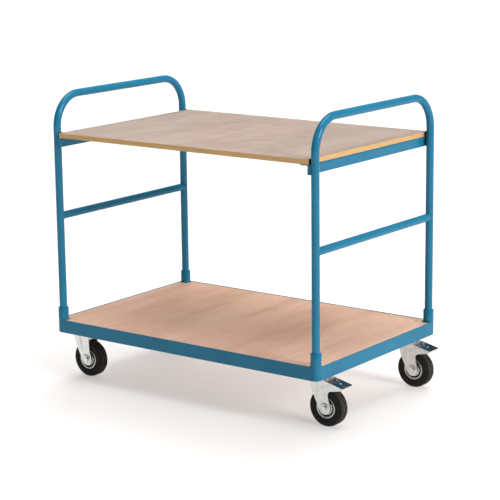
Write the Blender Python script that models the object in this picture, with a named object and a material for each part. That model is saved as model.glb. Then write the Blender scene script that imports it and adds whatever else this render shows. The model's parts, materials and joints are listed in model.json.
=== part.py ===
"""Two-level platform trolley with a tubular hoop at each end and four swivel castors.

X runs along the trolley (+X is the braked end), -Y is the front long side, +Z is up.
The origin lies on the floor under the middle of the whole trolley, brake pedals included.
Sizes are in millimetres in the constants and become metres when the meshes are made.
"""
import bpy
import bmesh
from math import cos, sin, pi, radians, sqrt, hypot
from mathutils import Vector, Matrix

MM = 0.001
GAP = 0.3                 # clearance between pieces that touch

# wheels and castors
WHEEL_R = 62.5
WHEEL_HALF_W = 18.5
RIM_R = 35.3
HUB_BORE_R = 8.3
AXLE_R = 5.0
AXLE_Z = WHEEL_R
TRAIL = 26.0              # axle behind the swivel axis
CASTOR_X = 501.0          # swivel axes, from the middle of the frame
CASTOR_Y = 263.0
CHEEK_IN = 21.0           # fork cheek, inner face
CHEEK_OUT = 24.0
CROWN_Z = 157.7           # top of the fork crown
CROWN_T = 3.0
KINGPIN_R = 6.0

# base frame
FRAME_HALF_X = 547.5
FRAME_HALF_Y = 354.5
FRAME_Z0 = 167.0
FRAME_Z1 = 212.0
WEB_T = 3.0
LEDGE_W = 25.0
LEDGE_T = 3.0
DECK_T = 16.0
DECK_LIP = 1.0            # deck top below the rail top

# corner sockets and hoops
POST_X = 530.0
POST_Y = 337.0
SOCKET_R = 17.5
SOCKET_BORE = 13.4
SOCKET_Z1 = 254.0
TUBE_R = 13.0
TUBE_WALL = 2.0
HOOP_Z = 986.0            # centre line of the handle
BEND_R = 107.0
MID_Z = 574.5

# upper shelf
SHELF_HALF_X = 512.0
SHELF_HALF_Y = 350.0
SHELF_Z1 = 862.5
SHELF_T = 16.0
BAR_H = 32.0
BAR_W = 30.0
BAR_T = 3.0
BAR_HALF_Y = 349.0
BUFFER_T = 4.4

# brake pedals
PEDAL_TIP_X = 600.0
PIN_DX = 40.0             # pedal pin ahead of the swivel axis
PIN_Z = 140.0
PIN_R = 3.0
PEDAL_SLOPE = -0.232

# the origin is under the middle of the overall box
X0 = -(PEDAL_TIP_X - FRAME_HALF_X) / 2

SEG_TUBE = 16
SEG_WHEEL = 24


def clear_scene():
    for obj in list(bpy.data.objects):
        bpy.data.objects.remove(obj, do_unlink=True)


def material(name, colour, metallic, roughness):
    mat = bpy.data.materials.new(name)
    mat.use_nodes = True
    bsdf = mat.node_tree.nodes["Principled BSDF"]
    bsdf.inputs["Base Color"].default_value = (*colour, 1.0)
    bsdf.inputs["Metallic"].default_value = metallic
    bsdf.inputs["Roughness"].default_value = roughness
    mat.diffuse_color = (*colour, 1.0)
    return mat


def finish_mesh(bm, name, smooth=None):
    """Turn a bmesh in millimetres into a closed mesh in metres with its faces pointing out."""
    bmesh.ops.remove_doubles(bm, verts=bm.verts, dist=0.001)
    bmesh.ops.recalc_face_normals(bm, faces=bm.faces)
    bmesh.ops.scale(bm, vec=(MM, MM, MM), verts=bm.verts)
    mesh = bpy.data.meshes.new(name)
    bm.to_mesh(mesh)
    bm.free()
    if smooth is not None:
        mesh.shade_smooth()
        mesh.set_sharp_from_angle(angle=radians(smooth))
    return mesh


def circle(cx, cy, radius, count, start=0.0):
    return [(cx + radius * cos(start + 2 * pi * i / count), cy + radius * sin(start + 2 * pi * i / count))
            for i in range(count)]


def prism(name, outline, low, high, axis="Z", holes=(), smooth=None):
    """Extrude a flat outline, with round or other holes, between two levels of one axis."""
    bm = bmesh.new()

    def place(u, v, level):
        if axis == "Z":
            return (u, v, level)
        if axis == "Y":
            return (u, level, v)
        return (level, u, v)

    edges = []
    for loop in (outline, *holes):
        verts = [bm.verts.new(place(u, v, low)) for u, v in loop]
        edges += [bm.edges.new((verts[i], verts[(i + 1) % len(verts)])) for i in range(len(verts))]
    fill = bmesh.ops.triangle_fill(bm, use_beauty=True, use_dissolve=False, edges=edges)
    faces = [g for g in fill["geom"] if isinstance(g, bmesh.types.BMFace)]
    grown = bmesh.ops.extrude_face_region(bm, geom=faces)
    moved = [g for g in grown["geom"] if isinstance(g, bmesh.types.BMVert)]
    step = Vector(place(0, 0, high)) - Vector(place(0, 0, low))
    bmesh.ops.translate(bm, vec=step, verts=moved)
    return finish_mesh(bm, name, smooth)


def turned(name, profile, axis, count, smooth=35, start=0.0):
    """Spin a profile of (radius, height) points about an axis. Points at radius 0 close the ends."""
    bm = bmesh.new()
    direction = Vector((0, 1, 0)) if axis == "Y" else Vector((0, 0, 1))
    turn = Matrix.Rotation(start, 3, direction)
    verts = []
    for radius, height in profile:
        at = Vector((radius, height, 0)) if axis == "Y" else Vector((radius, 0, height))
        verts.append(bm.verts.new(turn @ at))
    edges = [bm.edges.new((verts[i], verts[i + 1])) for i in range(len(verts) - 1)]
    if profile[0][0] > 0 and profile[-1][0] > 0:
        edges.append(bm.edges.new((verts[-1], verts[0])))
    bmesh.ops.spin(bm, geom=verts + edges, cent=(0, 0, 0), axis=direction, dvec=(0, 0, 0),
                   angle=2 * pi, steps=count, use_merge=True, use_duplicate=False)
    return finish_mesh(bm, name, smooth)


def bridge(bm, first, second):
    count = len(first)
    for i in range(count):
        j = (i + 1) % count
        bm.faces.new((first[i], first[j], second[j], second[i]))


def hoop_path():
    """Centre line of a hoop in the YZ plane, from the foot of one leg to the foot of the other."""
    foot = FRAME_Z0 + 3.0 + GAP
    points = [(-POST_Y, foot)]
    steps = 6
    for side in (-1, 1):
        cy = side * (POST_Y - BEND_R)
        cz = HOOP_Z - BEND_R
        angles = [pi / 2 * i / steps for i in range(steps + 1)]
        if side == 1:
            angles.reverse()
        points += [(cy + side * BEND_R * cos(a), cz + BEND_R * sin(a)) for a in angles]
    points.append((POST_Y, foot))
    return points


def hoop_mesh(name):
    """A bent round tube with a wall, open at both feet."""
    bm = bmesh.new()
    path = hoop_path()
    rings = {"out": [], "in": []}
    for i, (y, z) in enumerate(path):
        before = path[max(i - 1, 0)]
        after = path[min(i + 1, len(path) - 1)]
        ty, tz = after[0] - before[0], after[1] - before[1]
        size = hypot(ty, tz)
        ny, nz = -tz / size, ty / size
        for key, radius in (("out", TUBE_R), ("in", TUBE_R - TUBE_WALL)):
            ring = []
            for k in range(SEG_TUBE):
                a = 2 * pi * k / SEG_TUBE
                side = radius * sin(a)
                ring.append(bm.verts.new((radius * cos(a), y + ny * side, z + nz * side)))
            rings[key].append(ring)
    for key in rings:
        for a, b in zip(rings[key], rings[key][1:]):
            bridge(bm, a, b)
    bridge(bm, rings["out"][0], rings["in"][0])
    bridge(bm, rings["out"][-1], rings["in"][-1])
    return finish_mesh(bm, name, 40)


def coped_tube(name, half_span):
    """A straight tube along Y whose ends are saddled to fit round the uprights."""
    bm = bmesh.new()
    rings = {}
    for key, radius in (("out", TUBE_R), ("in", TUBE_R - TUBE_WALL)):
        for side in (-1, 1):
            ring = []
            for k in range(SEG_TUBE):
                a = 2 * pi * k / SEG_TUBE
                x = radius * cos(a)
                reach = half_span - sqrt((TUBE_R + 2.5 * GAP) ** 2 - x * x)
                ring.append(bm.verts.new((x, side * reach, radius * sin(a))))
            rings[key, side] = ring
        bridge(bm, rings[key, -1], rings[key, 1])
    for side in (-1, 1):
        bridge(bm, rings["out", side], rings["in", side])
    return finish_mesh(bm, name, 40)


def box_outline(u0, v0, u1, v1):
    return [(u0, v0), (u1, v0), (u1, v1), (u0, v1)]


def apply_boolean(base, others, operation):
    """Combine helper meshes with a base mesh and return the evaluated result."""
    obj = bpy.data.objects.new("joined", base)
    bpy.context.scene.collection.objects.link(obj)
    helpers = []
    for mesh in others:
        tool = bpy.data.objects.new("tool", mesh)
        bpy.context.scene.collection.objects.link(tool)
        helpers.append(tool)
        mod = obj.modifiers.new("cut", "BOOLEAN")
        mod.operation = operation
        mod.solver = "EXACT"
        mod.object = tool
    graph = bpy.context.evaluated_depsgraph_get()
    graph.update()
    result = bpy.data.meshes.new_from_object(obj.evaluated_get(graph))
    for item in [obj] + helpers:
        bpy.data.objects.remove(item, do_unlink=True)
    return result


def smooth_mesh(mesh, angle):
    mesh.shade_smooth()
    mesh.set_sharp_from_angle(angle=radians(angle))
    return mesh


def add(name, mesh, mat, at=(0, 0, 0), turn=0.0, parent=None):
    """Place a mesh as a named object, at a point given in millimetres from the frame's middle."""
    obj = bpy.data.objects.new(name, mesh)
    bpy.context.scene.collection.objects.link(obj)
    if not mesh.materials:
        mesh.materials.append(mat)
    obj.location = Vector(at) * MM
    obj.rotation_euler = (0, 0, turn)
    if parent is not None:
        obj.parent = parent
    return obj


def pivot(name, at, parent=None):
    empty = bpy.data.objects.new(name, None)
    bpy.context.scene.collection.objects.link(empty)
    empty.empty_display_size = 0.03
    empty.location = Vector(at) * MM
    if parent is not None:
        empty.parent = parent
    return empty


def rail_mesh(name, half_run, edge, post_run, post_edge):
    """A cold-rolled rail along local X: an upright web with a ledge that carries the deck.

    The rail stands at y = -edge and its ends are cut round the corner sockets.
    """
    reach = post_run - 3.0
    inner = edge - WEB_T
    ledge_z1 = FRAME_Z1 - DECK_LIP - DECK_T - GAP
    ledge_z0 = ledge_z1 - LEDGE_T
    profile = [(-edge, FRAME_Z0), (-inner, FRAME_Z0), (-inner, ledge_z0),
               (-edge + LEDGE_W, ledge_z0), (-edge + LEDGE_W, ledge_z1), (-inner, ledge_z1),
               (-inner, FRAME_Z1), (-edge, FRAME_Z1)]
    web = prism(name, profile, -reach, reach, axis="X")
    cutters = []
    for side in (-1, 1):
        ring = circle(side * post_run, -post_edge, SOCKET_R + GAP + 0.1, 28)
        cutters.append(prism("cutter", ring, FRAME_Z0 - 20, FRAME_Z1 + 20))
    return apply_boolean(web, cutters, "DIFFERENCE")


def deck_outline():
    x = FRAME_HALF_X - WEB_T - GAP
    y = FRAME_HALF_Y - WEB_T - GAP
    nx = POST_X - SOCKET_R - 2.0
    ny = POST_Y - SOCKET_R - 2.0
    return [(-nx, -y), (nx, -y), (nx, -ny), (x, -ny), (x, ny), (nx, ny), (nx, y), (-nx, y),
            (-nx, ny), (-x, ny), (-x, -ny), (-nx, -ny)]


def crossbar_mesh(name):
    """Shelf bearer at the +X end: an angle under the board with an end lug out to each upright."""
    top = SHELF_Z1 - SHELF_T - GAP
    x1 = SHELF_HALF_X
    angle = [(x1 - BAR_W, top - BAR_T), (x1 - BAR_T, top - BAR_T), (x1 - BAR_T, top - BAR_H),
             (x1, top - BAR_H), (x1, top), (x1 - BAR_W, top)]
    bar = prism(name, angle, -BAR_HALF_Y, BAR_HALF_Y, axis="Y")
    lugs = []
    for side in (-1, 1):
        y0, y1 = sorted((side * (BAR_HALF_Y - 0.2), side * (BAR_HALF_Y - 3.8)))
        lug = box_outline(x1 - 1.5, top - BAR_H + 1.0, POST_X - 10.5, top - 0.5)
        lugs.append(prism("lug", lug, y0, y1, axis="Y"))
    return apply_boolean(bar, lugs, "UNION")


def corner_plate_mesh(name):
    """Castor mounting plate welded inside the (+X, +Y) corner, with its corner cut round the socket."""
    x1 = FRAME_HALF_X - WEB_T - GAP
    y1 = FRAME_HALF_Y - WEB_T - GAP
    x0 = CASTOR_X - 50.0
    y0 = CASTOR_Y - 57.0
    cut = POST_X + POST_Y - (SOCKET_R + GAP + 0.2) * sqrt(2)
    outline = [(x0, y0), (x1, y0), (x1, cut - x1), (cut - y1, y1), (x0, y1)]
    z0 = CROWN_Z + 9.6 + 4.0 + GAP
    hole = circle(CASTOR_X, CASTOR_Y, 12.0, 16)
    return prism(name, outline, z0, z0 + 5.0, holes=[hole])


def top_plate_mesh(name):
    """Castor top plate with the raceway pressed down from it and a hole for the kingpin."""
    z0 = CROWN_Z + GAP
    plate = prism(name, box_outline(-42, -52, 42, 52), z0 + 9.3, z0 + 13.3,
                  holes=[circle(0, 0, KINGPIN_R + GAP, 16)])
    race = turned("race", [(26.0, z0), (31.0, z0), (33.0, z0 + 10.5), (21.0, z0 + 10.5), (24.0, z0 + 6)], "Z", 20)
    return smooth_mesh(apply_boolean(plate, [race], "UNION"), 35)


def cheek_outline(braked):
    """Side view of a fork cheek, about the swivel axis."""
    boss_r = 21.0
    points = [(-31.0, CROWN_Z - 0.4), (-31.0, 146.0), (-20.0, 108.0)]
    for i in range(7):
        a = radians(200 + i * 26)
        points.append((TRAIL + boss_r * cos(a), AXLE_Z + boss_r * sin(a)))
    points += [(TRAIL + 13.5, AXLE_Z + 26.0), (TRAIL + 11.5, 112.0)]
    if braked:
        points += [(44.0, 119.0), (88.0, 128.0), (95.0, 133.0)]
        points += [(PIN_DX + 8.0, pedal_top(PIN_DX + 8.0) - 5.0), (38.0, 146.0), (33.0, 150.0)]
    else:
        points += [(36.0, 128.0), (33.0, 146.0)]
    points.append((33.0, CROWN_Z - 0.4))
    return points


def pedal_top(dx):
    """Height of the pedal's top face at a distance ahead of the swivel axis."""
    return 153.0 + PEDAL_SLOPE * (dx - 31.0)


def fork_mesh(name, braked):
    holes = [circle(TRAIL, AXLE_Z, AXLE_R + GAP, 12)]
    if braked:
        holes.append(circle(PIN_DX, PIN_Z, PIN_R + GAP, 12))
    near = prism(name, cheek_outline(braked), -CHEEK_OUT, -CHEEK_IN, axis="Y", holes=holes)
    far = prism("far_cheek", cheek_outline(braked), CHEEK_IN, CHEEK_OUT, axis="Y", holes=holes)
    crown = prism("crown", circle(0, 0, 33.0, 24), CROWN_Z - CROWN_T, CROWN_Z,
                  holes=[circle(0, 0, KINGPIN_R + GAP, 16)])
    return smooth_mesh(apply_boolean(crown, [near, far], "UNION"), 35)


def kingpin_mesh(name):
    """Kingpin riveted through the top plate, with its lower head under the fork crown."""
    top = CROWN_Z + GAP + 13.3
    under = CROWN_Z - CROWN_T - GAP
    profile = [(0, under - 8), (7, under - 8), (11, under - 5), (11, under), (KINGPIN_R, under),
               (KINGPIN_R, top + GAP), (9, top + GAP), (9, top + 2.5), (7, top + 4), (0, top + 4)]
    return turned(name, profile, "Z", 16)


def axle_mesh(name):
    """Axle bolt along Y with a round low head on the -Y side."""
    out = CHEEK_OUT + GAP
    profile = [(0, -out - 6.5), (6, -out - 6.5), (9.5, -out - 4.5), (10.5, -out), (AXLE_R, -out),
               (AXLE_R, out + 11), (0, out + 11)]
    return turned(name, profile, "Y", 12)


def nut_mesh(name):
    """Hexagon nut on the +Y end of the axle bolt."""
    out = CHEEK_OUT + GAP
    return prism(name, circle(0, 0, 9.8, 6), out, out + 8.5, axis="Y",
                 holes=[circle(0, 0, AXLE_R + GAP, 12)])


def rim_mesh(name):
    """Pressed steel wheel centre: bead rings, a recessed web and a raised hub with a bore."""
    half = [(12.0, 19.6), (23.4, 17.4), (25.0, 10.0), (27.2, 10.0), (28.4, 16.4), (RIM_R, 17.6)]
    upper = [(HUB_BORE_R, 19.6)] + half
    lower = [(r, -h) for r, h in reversed(half)] + [(HUB_BORE_R, -19.6)]
    return turned(name, upper + lower, "Y", SEG_WHEEL)


def tyre_mesh(name):
    half = [(RIM_R + GAP, 17.0), (39.5, WHEEL_HALF_W), (56.0, WHEEL_HALF_W), (61.0, 16.6), (WHEEL_R, 13.0)]
    return turned(name, half + [(r, -h) for r, h in reversed(half)], "Y", SEG_WHEEL)


def bearing_mesh(name):
    profile = [(AXLE_R + GAP, -20.2), (HUB_BORE_R - GAP, -20.2), (HUB_BORE_R - GAP, 20.2), (AXLE_R + GAP, 20.2)]
    return turned(name, profile, "Y", 16)


def pedal_mesh(name):
    """Brake pedal about its pin: a sloping tread, two cheeks on the pin and a tab over the tyre."""
    tip = PEDAL_TIP_X - CASTOR_X
    inner = 37.0

    def line(dx, drop):
        return (dx - PIN_DX, pedal_top(dx) - drop - PIN_Z)

    ear, half = 25.0, 30.0
    tread = [line(ear, 0), line(ear, 2.5), line(tip - 3, 2.5), line(tip, 5.5), line(tip, 0)]
    body = prism(name, tread, -half, half, axis="Y")
    notch = [(ear - PIN_DX - 2.0, 0.0), (inner - PIN_DX, 0.0), (inner - PIN_DX, 22.0), (ear - PIN_DX - 2.0, 22.0)]
    body = apply_boolean(body, [prism("notch", notch, -25.4, 25.4, axis="Y")], "DIFFERENCE")
    cheek = [line(inner, 1.5), (-6.0, 8.0), (-6.0, -3.0), (-3.0, -7.0), (5.0, -7.5), line(tip - 8, 9.0), line(tip - 8, 1.5)]
    tab = [line(52.0, 1.5), line(56.0, 1.5), (14.0, -13.5), (2.0, -15.0), (2.0, -12.5), (10.5, -11.0)]
    hole = circle(0, 0, PIN_R + GAP, 12)
    parts = [prism("cheek", cheek, 17.4, 20.4, axis="Y", holes=[hole]),
             prism("cheek", cheek, -20.4, -17.4, axis="Y", holes=[hole]),
             prism("tab", tab, -13.0, 13.0, axis="Y")]
    return apply_boolean(body, parts, "UNION")


def pin_mesh(name):
    end = CHEEK_OUT + 2.0
    return turned(name, [(0, -end), (PIN_R, -end), (PIN_R, end), (0, end)], "Y", 12)


def build():
    clear_scene()
    blue = (0.045, 0.215, 0.375)
    wood = (0.62, 0.44, 0.32)
    zinc = (0.62, 0.62, 0.6)

    def paint(name):
        return material(name, blue, 0.0, 0.32)

    base = pivot("trolley", (X0, 0, 0))

    # base frame
    long_rail = rail_mesh("long_rail", FRAME_HALF_X, FRAME_HALF_Y, POST_X, POST_Y)
    end_rail = rail_mesh("end_rail", FRAME_HALF_Y, FRAME_HALF_X, POST_Y, POST_X)
    add("front_rail", long_rail, paint("front_rail_paint"), parent=base)
    add("back_rail", long_rail.copy(), paint("back_rail_paint"), turn=pi, parent=base)
    add("right_rail", end_rail, paint("right_rail_paint"), turn=pi / 2, parent=base)
    add("left_rail", end_rail.copy(), paint("left_rail_paint"), turn=-pi / 2, parent=base)
    deck_z1 = FRAME_Z1 - DECK_LIP
    deck = prism("deck_board", deck_outline(), deck_z1 - DECK_T, deck_z1)
    add("deck_board", deck, material("deck_wood", wood, 0.0, 0.45), parent=base)

    corners = [("front_left", -1, -1), ("front_right", 1, -1), ("back_left", -1, 1), ("back_right", 1, 1)]
    cup = [(0, FRAME_Z0), (SOCKET_R, FRAME_Z0), (SOCKET_R, SOCKET_Z1), (SOCKET_BORE, SOCKET_Z1),
           (SOCKET_BORE, FRAME_Z0 + 3.0), (0, FRAME_Z0 + 3.0)]
    plate = corner_plate_mesh("corner_plate")
    for label, sx, sy in corners:
        add(label + "_socket", turned("socket", cup, "Z", 20), paint(label + "_socket_paint"),
            at=(sx * POST_X, sy * POST_Y, 0), parent=base)
        mirrored = plate.copy()
        mirrored.transform(Matrix.Diagonal((sx, sy, 1, 1)))
        if sx * sy < 0:
            mirrored.flip_normals()
        add(label + "_corner_plate", mirrored, paint(label + "_plate_paint"), parent=base)

    # hoops with their mid rails
    for label, sx in (("left", -1), ("right", 1)):
        add(label + "_hoop", hoop_mesh("hoop"), paint(label + "_hoop_paint"), at=(sx * POST_X, 0, 0), parent=base)
        add(label + "_mid_rail", coped_tube("mid_rail", POST_Y), paint(label + "_mid_rail_paint"),
            at=(sx * POST_X, 0, MID_Z), parent=base)

    # upper shelf on its two bearers, with a rubber buffer against each upright
    shelf = prism("shelf_board", box_outline(-SHELF_HALF_X, -SHELF_HALF_Y, SHELF_HALF_X, SHELF_HALF_Y),
                  SHELF_Z1 - SHELF_T, SHELF_Z1)
    add("shelf_board", shelf, material("shelf_wood", (0.52, 0.42, 0.35), 0.0, 0.4), parent=base)
    bar = crossbar_mesh("crossbar")
    add("right_shelf_bearer", bar, paint("right_bearer_paint"), parent=base)
    add("left_shelf_bearer", bar.copy(), paint("left_bearer_paint"), turn=pi, parent=base)
    buffer_x = POST_X - TUBE_R - GAP
    buffer_outline = box_outline(buffer_x - BUFFER_T, -8, buffer_x, 8)
    rubber = material("buffer_rubber", (0.02, 0.02, 0.02), 0.0, 0.7)
    for label, sx, sy in corners:
        turn = 0 if sx > 0 else pi
        add(label + "_buffer", prism("buffer", buffer_outline, SHELF_Z1 - SHELF_T, SHELF_Z1 + 1.5), rubber,
            at=(0, sy * POST_Y, 0), turn=turn, parent=base)

    # castors, each on an empty at its swivel axis, with a second empty on the axle
    meshes = {
        "top_plate": top_plate_mesh("top_plate"),
        "kingpin": kingpin_mesh("kingpin"),
        "fork": fork_mesh("fork", False),
        "braked_fork": fork_mesh("braked_fork", True),
        "axle_bolt": axle_mesh("axle_bolt"),
        "axle_nut": nut_mesh("axle_nut"),
        "rim": rim_mesh("rim"),
        "tyre": tyre_mesh("tyre"),
        "bearing": bearing_mesh("bearing"),
        "pedal": pedal_mesh("pedal"),
        "pin": pin_mesh("pin"),
    }
    plated = material("zinc_plate", zinc, 1.0, 0.35)
    steel = material("bolt_steel", (0.7, 0.7, 0.7), 1.0, 0.3)
    tyre_rubber = material("tyre_rubber", (0.022, 0.021, 0.02), 0.0, 0.75)
    bush = material("bearing_plastic", (0.05, 0.05, 0.05), 0.0, 0.5)
    pedal_mat = material("pedal_chrome", (0.12, 0.14, 0.15), 1.0, 0.25)
    for label, sx, sy in corners:
        head = (sx * CASTOR_X, sy * CASTOR_Y, 0)
        add(label + "_top_plate", meshes["top_plate"], plated, at=head, parent=base)
        add(label + "_kingpin", meshes["kingpin"], steel, at=head, parent=base)
        swivel = pivot(label + "_swivel", head, parent=base)
        kind = "braked_fork" if sx > 0 else "fork"
        add(label + "_fork", meshes[kind], plated, parent=swivel)
        axle = pivot(label + "_axle", (TRAIL, 0, AXLE_Z), parent=swivel)
        add(label + "_axle_bolt", meshes["axle_bolt"], steel, parent=axle)
        add(label + "_axle_nut", meshes["axle_nut"], steel, parent=axle)
        add(label + "_rim", meshes["rim"], plated, parent=axle)
        add(label + "_tyre", meshes["tyre"], tyre_rubber, parent=axle)
        add(label + "_wheel_bearing", meshes["bearing"], bush, parent=axle)
        if sx > 0:
            brake = pivot(label + "_brake", (PIN_DX, 0, PIN_Z), parent=swivel)
            add(label + "_brake_pedal", meshes["pedal"], pedal_mat, parent=brake)
            add(label + "_pedal_pin", meshes["pin"], steel, parent=brake)


build()
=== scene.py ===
"""Looks, floor, lights and camera for the two-level platform trolley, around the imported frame."""
import json
import math

import bmesh
import bpy
from mathutils import Matrix, Vector


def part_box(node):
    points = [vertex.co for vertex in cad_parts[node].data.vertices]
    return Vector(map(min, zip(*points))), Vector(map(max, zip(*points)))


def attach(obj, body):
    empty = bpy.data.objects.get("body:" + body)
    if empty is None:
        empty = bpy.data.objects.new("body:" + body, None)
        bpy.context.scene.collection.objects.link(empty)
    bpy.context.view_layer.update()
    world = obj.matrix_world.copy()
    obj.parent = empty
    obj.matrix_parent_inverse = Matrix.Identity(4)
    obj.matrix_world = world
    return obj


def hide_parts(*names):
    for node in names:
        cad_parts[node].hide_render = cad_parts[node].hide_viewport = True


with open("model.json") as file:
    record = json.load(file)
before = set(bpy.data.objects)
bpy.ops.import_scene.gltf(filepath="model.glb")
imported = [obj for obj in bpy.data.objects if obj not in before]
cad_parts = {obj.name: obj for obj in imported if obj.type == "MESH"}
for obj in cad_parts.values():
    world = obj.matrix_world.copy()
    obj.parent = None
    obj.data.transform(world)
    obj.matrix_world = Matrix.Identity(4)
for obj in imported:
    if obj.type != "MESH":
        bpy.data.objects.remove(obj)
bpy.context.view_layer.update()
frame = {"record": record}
MM = 0.001
JOINTS = {j["name"]: j for j in frame["record"]["behaviour"]["joints"]}
CORNERS = [("front_left", -1, -1), ("front_right", 1, -1), ("back_left", -1, 1), ("back_right", 1, 1)]


# ---------------------------------------------------------------- shapes

def to_object(bm, name, mats, at=(0, 0, 0), smooth=40, turn=0.0):
    """Make an object from a bmesh in millimetres."""
    bmesh.ops.remove_doubles(bm, verts=bm.verts, dist=0.0005)
    bmesh.ops.recalc_face_normals(bm, faces=bm.faces)
    mesh = bpy.data.meshes.new(name)
    bm.to_mesh(mesh)
    bm.free()
    return place(mesh, name, mats, at, smooth, turn)


def place(mesh, name, mats, at=(0, 0, 0), smooth=40, turn=0.0):
    """Scale a mesh from millimetres to metres and put it in the scene at a point in metres."""
    mesh.transform(Matrix.Scale(MM, 4))
    mesh.materials.clear()
    for mat in mats:
        mesh.materials.append(mat)
    mesh.shade_smooth()
    mesh.set_sharp_from_angle(angle=math.radians(smooth))
    obj = bpy.data.objects.new(name, mesh)
    bpy.context.scene.collection.objects.link(obj)
    obj.location = at
    obj.rotation_euler = (0, 0, turn)
    return obj


def copy_of(obj, name, at):
    """Another object on the same mesh, with the same modifiers."""
    new = obj.copy()
    new.name = name
    bpy.context.scene.collection.objects.link(new)
    new.location = at
    return new


def bevel(obj, width, segments=3, angle=35):
    """Round an object's sharp edges with a modifier."""
    mod = obj.modifiers.new("edges", "BEVEL")
    mod.width = width * MM
    mod.segments = segments
    mod.limit_method = "ANGLE"
    mod.angle_limit = math.radians(angle)
    mod.harden_normals = True
    return obj


def circle(cx, cy, radius, count, start=0.0, sweep=2 * math.pi):
    """Points round a full circle, or along an arc with both its ends."""
    full = abs(sweep - 2 * math.pi) < 1e-6
    steps = count if full else count - 1
    angles = [start + sweep * i / steps for i in range(count)]
    return [(cx + radius * math.cos(a), cy + radius * math.sin(a)) for a in angles]


def rounded(points, radius, steps=6):
    """Round the corners of a flat outline. radius is one number, or one for each corner."""
    radii = radius if isinstance(radius, (list, tuple)) else [radius] * len(points)
    out = []
    for i, (point, r) in enumerate(zip(points, radii)):
        here = Vector(point)
        back = Vector(points[i - 1]) - here
        ahead = Vector(points[(i + 1) % len(points)]) - here
        half = back.angle(ahead) / 2
        if r <= 0 or half > math.radians(88):
            out.append(tuple(here))
            continue
        cut = min(r / math.tan(half), back.length * 0.49, ahead.length * 0.49)
        first = here + back.normalized() * cut
        last = here + ahead.normalized() * cut
        for k in range(steps + 1):
            t = k / steps
            out.append(tuple(first * (1 - t) ** 2 + here * 2 * t * (1 - t) + last * t ** 2))
    return out


def prism_bm(outline, low, high, axis="Z", holes=()):
    """Extrude a flat outline with holes between two levels of one axis."""
    bm = bmesh.new()

    def point(u, v, level):
        return {"Z": (u, v, level), "Y": (u, level, v), "X": (level, u, v)}[axis]

    edges = []
    for loop in (outline, *holes):
        verts = [bm.verts.new(point(u, v, low)) for u, v in loop]
        edges += [bm.edges.new((verts[i], verts[(i + 1) % len(verts)])) for i in range(len(verts))]
    fill = bmesh.ops.triangle_fill(bm, use_beauty=True, use_dissolve=False, edges=edges)
    faces = [g for g in fill["geom"] if isinstance(g, bmesh.types.BMFace)]
    grown = bmesh.ops.extrude_face_region(bm, geom=faces)
    moved = [g for g in grown["geom"] if isinstance(g, bmesh.types.BMVert)]
    bmesh.ops.translate(bm, vec=Vector(point(0, 0, high)) - Vector(point(0, 0, low)), verts=moved)
    bmesh.ops.recalc_face_normals(bm, faces=bm.faces)
    return bm


def turned_bm(profile, axis="Z", count=64):
    """Spin a profile of (radius, height) points. One that starts and ends off the axis is a closed loop."""
    bm = bmesh.new()
    rings = []
    for radius, height in profile:
        ring = []
        for i in range(1 if radius == 0 else count):
            a = 2 * math.pi * i / count
            u, v = radius * math.cos(a), radius * math.sin(a)
            ring.append(bm.verts.new((u, height, v) if axis == "Y" else (u, v, height)))
        rings.append(ring)
    pairs = list(zip(rings, rings[1:]))
    if profile[0][0] > 0 and profile[-1][0] > 0:
        pairs.append((rings[-1], rings[0]))
    for a, b in pairs:
        for i in range(count):
            j = (i + 1) % count
            quad = [a[i % len(a)], a[j % len(a)], b[j % len(b)], b[i % len(b)]]
            corners = list(dict.fromkeys(quad))
            if len(corners) > 2:
                bm.faces.new(corners)
    bmesh.ops.recalc_face_normals(bm, faces=bm.faces)
    return bm


def sweep_bm(path, radius, count, closed=False, inner=None, wobble=0.0):
    """A round bar or tube along a path of 3-D points in millimetres."""
    bm = bmesh.new()
    pts = [Vector(p) for p in path]
    n = len(pts)
    normal = None
    rings = {"out": [], "in": []}
    for i, p in enumerate(pts):
        before = pts[i - 1] if (i or closed) else p
        after = pts[(i + 1) % n] if (i < n - 1 or closed) else p
        tangent = (after - before).normalized()
        if normal is None:
            normal = tangent.orthogonal().normalized()
        normal = (normal - tangent * normal.dot(tangent)).normalized()
        side = tangent.cross(normal)
        for key, r in (("out", radius), ("in", inner)):
            if r is None:
                continue
            swell = 1 + wobble * math.sin(i * 2.4) + wobble * 0.6 * math.sin(i * 5.1 + 1)
            ring = []
            for k in range(count):
                a = 2 * math.pi * k / count
                ring.append(bm.verts.new(p + (normal * math.cos(a) + side * math.sin(a)) * r * swell))
            rings[key].append(ring)
    for key in ("out", "in"):
        ring_list = rings[key] + ([rings[key][0]] if closed and rings[key] else [])
        for a, b in zip(ring_list, ring_list[1:]):
            for k in range(count):
                m = (k + 1) % count
                bm.faces.new((a[k], a[m], b[m], b[k]))
    if not closed:
        for end in (0, -1):
            if inner is None:
                bm.faces.new(rings["out"][end])
            else:
                a, b = rings["out"][end], rings["in"][end]
                for k in range(count):
                    m = (k + 1) % count
                    bm.faces.new((a[k], a[m], b[m], b[k]))
    bmesh.ops.recalc_face_normals(bm, faces=bm.faces)
    return bm


def mesh_of(bm, name="helper"):
    """Turn a bmesh into a mesh and free it."""
    mesh = bpy.data.meshes.new(name)
    bm.to_mesh(mesh)
    bm.free()
    return mesh


def combine(base, tools, operation):
    """Boolean of helper meshes, in millimetres."""
    obj = bpy.data.objects.new("joined", base)
    bpy.context.scene.collection.objects.link(obj)
    helpers = []
    for mesh in tools:
        tool = bpy.data.objects.new("tool", mesh)
        bpy.context.scene.collection.objects.link(tool)
        helpers.append(tool)
        mod = obj.modifiers.new("cut", "BOOLEAN")
        mod.operation = operation
        mod.solver = "EXACT"
        mod.object = tool
    graph = bpy.context.evaluated_depsgraph_get()
    graph.update()
    result = bpy.data.meshes.new_from_object(obj.evaluated_get(graph))
    for item in [obj] + helpers:
        bpy.data.objects.remove(item, do_unlink=True)
    return result


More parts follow.
